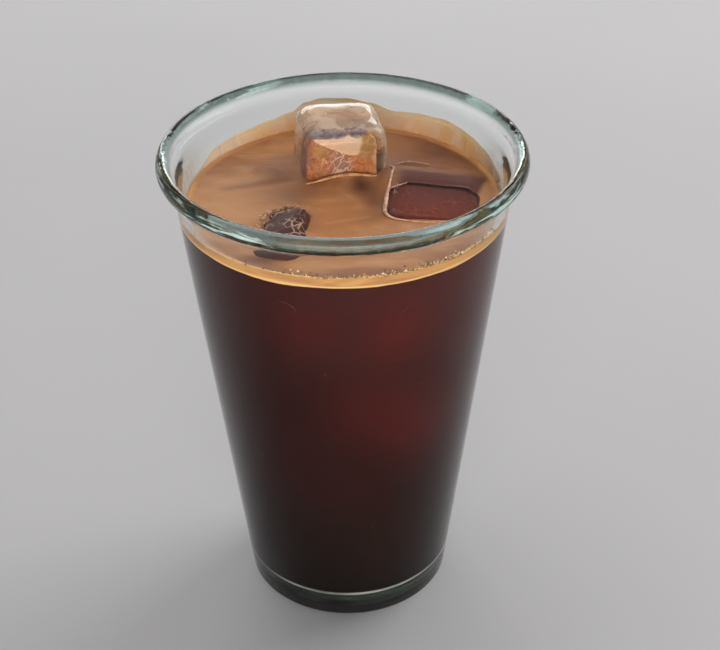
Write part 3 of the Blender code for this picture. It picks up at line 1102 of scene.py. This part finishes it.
def balls_mesh(name, balls, detail=2):
    """One mesh of small bubbles, each given by its middle, radius and flat direction."""
    shape = bmesh.new()
    for middle, radius, flat, squash in balls:
        turn = Vector((0, 0, 1)).rotation_difference(flat).to_matrix().to_4x4()
        size = Matrix.Diagonal((radius, radius, radius * squash, 1))
        bmesh.ops.create_icosphere(
            shape, subdivisions=detail, radius=1.0,
            matrix=Matrix.Translation(middle) @ turn @ size)
    return finish_mesh(name, shape, sharp=False)


FRINGE_BUBBLES = 460
SPECK_RADIUS = 0.00021
WALL_SPECKS = ((26, 0.073), (-42, 0.056), (31, 0.083), (-8, 0.090), (12, 0.035), (-24, 0.081))


def on_wall(angle, z, radius, sink=0.6):
    """A bubble that sits on the inner wall."""
    out = round_axis(1.0, angle, 0.0)
    middle = out * (inner_wall(z) - radius * sink)
    middle.z = z
    return middle, radius, out, 0.8


def bubble_material(name, dark, pale, roughness):
    material, shader, place = start_material(name)
    tone = spread(rough_noise(place, 700.0, 1.0), 0.4, 0.6)
    fill(shader, {"Base Color": blend(tone, dark, pale), "Roughness": roughness})
    return material


def make_fringe():
    """Small bubbles on the wall just above the crema, most at the front right."""
    chance = random.Random(7)
    dark = []
    pale = []
    for _ in range(FRINGE_BUBBLES):
        degrees = chance.gauss(-60, 26)
        crowd = 0.5 + 0.5 * noise.noise(Vector((degrees * 0.11, 0, 0)))
        rise = abs(chance.gauss(0, 0.0007)) * (0.3 + 1.3 * crowd)
        radius = chance.uniform(0.00011, 0.00030) * (0.7 + 0.6 * crowd)
        ball = on_wall(math.radians(degrees), DRINK_LEVEL + MENISCUS_RISE + rise, radius)
        (dark if chance.random() < 0.6 else pale).append(ball)
    for _ in range(200):
        radius = chance.uniform(0.00010, 0.00020)
        z = DRINK_LEVEL + MENISCUS_RISE + abs(chance.gauss(0, 0.0003))
        pale.append(on_wall(chance.uniform(0, math.tau), z, radius))
    for degrees, z in WALL_SPECKS:
        pale.append(on_wall(math.radians(degrees - 90), z, SPECK_RADIUS, -0.2))
    look = bubble_material("bubbles_dark", linear(100, 68, 44), linear(136, 98, 66), 0.12)
    add_piece("wall_bubbles_dark", balls_mesh("wall_bubbles_dark", dark, 2), look)
    look = bubble_material("bubbles_pale", linear(190, 142, 96), linear(226, 190, 146), 0.2)
    add_piece("wall_bubbles_pale", balls_mesh("wall_bubbles_pale", pale, 1), look)


# Foam against the ice, in millimetres: places (x, y), the foam's radius, its height over the drink
FRONT_CUBE_RIM = ((-21.2, -16.5), (-20.4, -11.6), (-18.4, -7.9), (-14.6, -5.6), (-11.6, -5.4))
FOAM_RIDGES = {
    "right_cube_rim": (
        (25.5, -14.2, 0.12, 0.3), (20.0, -14.0, 0.13, 0.3), (15.5, -12.9, 0.15, 0.3),
        (12.2, -11.6, 0.26, 0.4), (10.6, -8.9, 0.52, 0.4), (10.8, -4.5, 0.66, 0.5),
        (11.4, 0.5, 0.50, 1.0), (12.2, 5.0, 0.36, 1.7), (12.9, 9.6, 0.32, 2.0),
        (13.4, 12.6, 0.36, 1.8), (12.6, 15.0, 0.26, 1.2)),
    "right_cube_crack": (
        (12.0, 1.5, 0.14, 1.5), (13.4, 2.2, 0.18, 1.8), (15.0, 3.2, 0.16, 1.8), (16.6, 4.4, 0.10, 1.7)),
    "lens_rim": (
        (14.2, 17.0, 0.07, 0.5), (17.0, 19.0, 0.11, 0.3), (20.6, 18.2, 0.11, 0.3), (23.2, 16.2, 0.07, 0.6)),
    "back_cube_rim": (
        (-9.8, 7.3, 0.30, 0.0), (-6.5, 8.0, 0.42, 0.6), (-3.0, 8.7, 0.52, 1.3), (0.0, 9.2, 0.55, 1.6),
        (3.0, 9.7, 0.55, 1.5), (6.0, 10.2, 0.48, 0.9), (9.0, 10.8, 0.36, 0.2), (12.0, 11.3, 0.20, 0.0)),
    "front_cube_edge": (
        (-12.4, -5.2, 0.18, 0.1), (-10.6, -6.6, 0.30, 0.1), (-9.6, -9.4, 0.36, 0.1),
        (-9.3, -13.0, 0.34, 0.1), (-9.6, -17.0, 0.30, 0.1), (-10.2, -21.0, 0.22, 0.1)),
}


def along(points, steps):
    """Points of a smooth curve through the given ones."""
    curve = []
    last = len(points) - 1
    for index in range(last):
        before = points[max(index - 1, 0)]
        start, end = points[index], points[index + 1]
        after = points[min(index + 2, last)]
        for step in range(steps):
            t = step / steps
            curve.append(tuple(
                0.5 * (2 * b + (c - a) * t + (2 * a - 5 * b + 4 * c - d) * t * t
                       + (3 * b - a - 3 * c + d) * t ** 3)
                for a, b, c, d in zip(before, start, end, after)))
    curve.append(tuple(points[last]))
    return curve


def make_front_rim():
    """The crumbly foam along the front cube's left and back edges."""
    chance = random.Random(21)
    crumbs = []
    path = along(FRONT_CUBE_RIM, 12)
    for _ in range(420):
        x, y = chance.choice(path)
        spot = Vector((x + chance.gauss(0, 0.45), y + chance.gauss(0, 0.45), 0)) / 1000
        radius = chance.uniform(0.00010, 0.00034)
        spot.z = DRINK_LEVEL + chance.uniform(0.0, 0.0006)
        crumbs.append((spot, radius, Vector((0, 0, 1)), 0.8))
    look = bubble_material("foam_crumbs", linear(166, 118, 82), linear(214, 170, 128), 0.3)
    add_piece("foam_crumbs", balls_mesh("foam_crumbs", crumbs, 1), look)


def ridge_mesh(name, points, sides=8):
    """A thin uneven ridge of foam along points given in millimetres."""
    shape = bmesh.new()
    rings = []
    curve = along(points, 8)
    for index, (x, y, radius, lift) in enumerate(curve):
        ahead = curve[min(index + 1, len(curve) - 1)]
        behind = curve[max(index - 1, 0)]
        way = Vector((ahead[0] - behind[0], ahead[1] - behind[1], 0)).normalized()
        across = Vector((-way.y, way.x, 0))
        middle = Vector((x, y, 0)) / 1000
        middle.z = DRINK_LEVEL + lift / 1000
        size = radius / 1000 * (1 + 0.5 * noise.noise(Vector((x, y, 0)) * 1.7))
        ring = []
        for side in range(sides):
            turn = math.tau * side / sides
            offset = across * math.cos(turn) + Vector((0, 0, 0.8 * math.sin(turn)))
            ring.append(shape.verts.new(middle + offset * size))
        rings.append(ring)
    join_rings(shape, rings)
    shape.faces.new(rings[0])
    shape.faces.new(rings[-1])
    bmesh.ops.recalc_face_normals(shape, faces=shape.faces)
    return finish_mesh(name, shape, sharp=False)


def make_rims():
    make_front_rim()
    pink = bubble_material("foam_ridge_pink", linear(184, 134, 106), linear(216, 172, 142), 0.3)
    orange = bubble_material("foam_ridge_orange", linear(184, 120, 70), linear(212, 152, 98), 0.3)
    for name, points in FOAM_RIDGES.items():
        look = orange if name in ("front_cube_edge", "back_cube_rim") else pink
        add_piece(name, ridge_mesh(name, points), look)


# Ice below the surface, seen dimly through the coffee

SUNK_ICE = {
    "sunk_ice_left": {"size": (0.019, 0.018, 0.018), "top": (-0.0105, -0.0285, 0.1130),
                      "turn": (8.0, 6.0, 20.0), "taper": 0.05},
    "sunk_ice_right": {"size": (0.020, 0.018, 0.019), "top": (0.0135, -0.0270, 0.1100),
                       "turn": (-6.0, -8.0, -24.0), "taper": 0.05},
}


def make_sunk_ice(look):
    """Cubes in the coffee that lean against the wall; their outer faces follow it."""
    for name, ice in SUNK_ICE.items():
        mesh = ice_mesh(name, ice, fine=ICE_FINE)
        for vert in mesh.vertices:
            radius = math.hypot(vert.co.x, vert.co.y)
            most = inner_wall(vert.co.z) + COFFEE_REACH + 0.00003
            if radius > most:
                vert.co.x *= most / radius
                vert.co.y *= most / radius
        add_piece(name, mesh, look)


# Stage

LIGHTS = {                      # place, size and power
    "key_light": ((0.70, 0.55, 0.85), (0.7, 0.7), 7.0),
    "fill_light": ((-0.02, -0.95, 0.24), (0.8, 0.36), 6.5),
    "top_light": ((-0.35, 0.45, 1.1), (0.9, 0.9), 3.5),
    "back_light": ((-0.15, 1.25, 0.46), (1.1, 0.34), 4.5),
}
AIM = Vector((0.0, 0.0, 0.07))
FLOOR_SIZE = 6.0


def add_light(name, place, size, power):
    lamp = bpy.data.lights.new(name, "AREA")
    lamp.shape = "RECTANGLE"
    lamp.size, lamp.size_y = size
    lamp.energy = power
    holder = bpy.data.objects.new(name, lamp)
    holder.location = place
    holder.rotation_euler = (Vector(place) - AIM).to_track_quat("Z", "Y").to_euler()
    bpy.context.scene.collection.objects.link(holder)


def make_stage():
    shape = bmesh.new()
    bmesh.ops.create_grid(shape, x_segments=4, y_segments=4, size=FLOOR_SIZE / 2)
    mesh = finish_mesh("studio_floor", shape, sharp=False)
    material, shader, place = start_material("studio_floor")
    tone = blend(rough_noise(place, 6.0, 3.0), linear(186, 184, 185), linear(194, 192, 192))
    fill(shader, {"Base Color": tone, "Roughness": 0.7})
    mesh.materials.append(material)
    floor = bpy.data.objects.new("studio_floor", mesh)
    bpy.context.scene.collection.objects.link(floor)
    for name, spec in LIGHTS.items():
        add_light(name, *spec)
    world = bpy.data.worlds.new("studio")
    world.use_nodes = True
    fill(world.node_tree.nodes["Background"], {"Color": linear(205, 205, 208), "Strength": 0.38})
    bpy.context.scene.world = world


def make_camera():
    camera = bpy.data.cameras.new("camera")
    camera.lens = CAMERA_LENS
    camera.sensor_width = SENSOR_WIDTH
    camera.clip_start = 0.01
    holder = bpy.data.objects.new("camera", camera)
    turn = (Matrix.Rotation(CAMERA_YAW, 4, "Z")
            @ Matrix.Rotation(math.pi / 2 - CAMERA_PITCH, 4, "X")
            @ Matrix.Rotation(CAMERA_ROLL, 4, "Z"))
    holder.matrix_world = Matrix.Translation(CAMERA_PLACE) @ turn
    bpy.context.scene.collection.objects.link(holder)
    bpy.context.scene.camera = holder


def main():
    bpy.context.scene.view_settings.view_transform = "Standard"
    make_stage()
    make_camera()
    make_glass()
    make_ice()
    make_coffee()
    make_crema()
    make_film()
    make_haze()
    make_fringe()
    make_rims()


main()
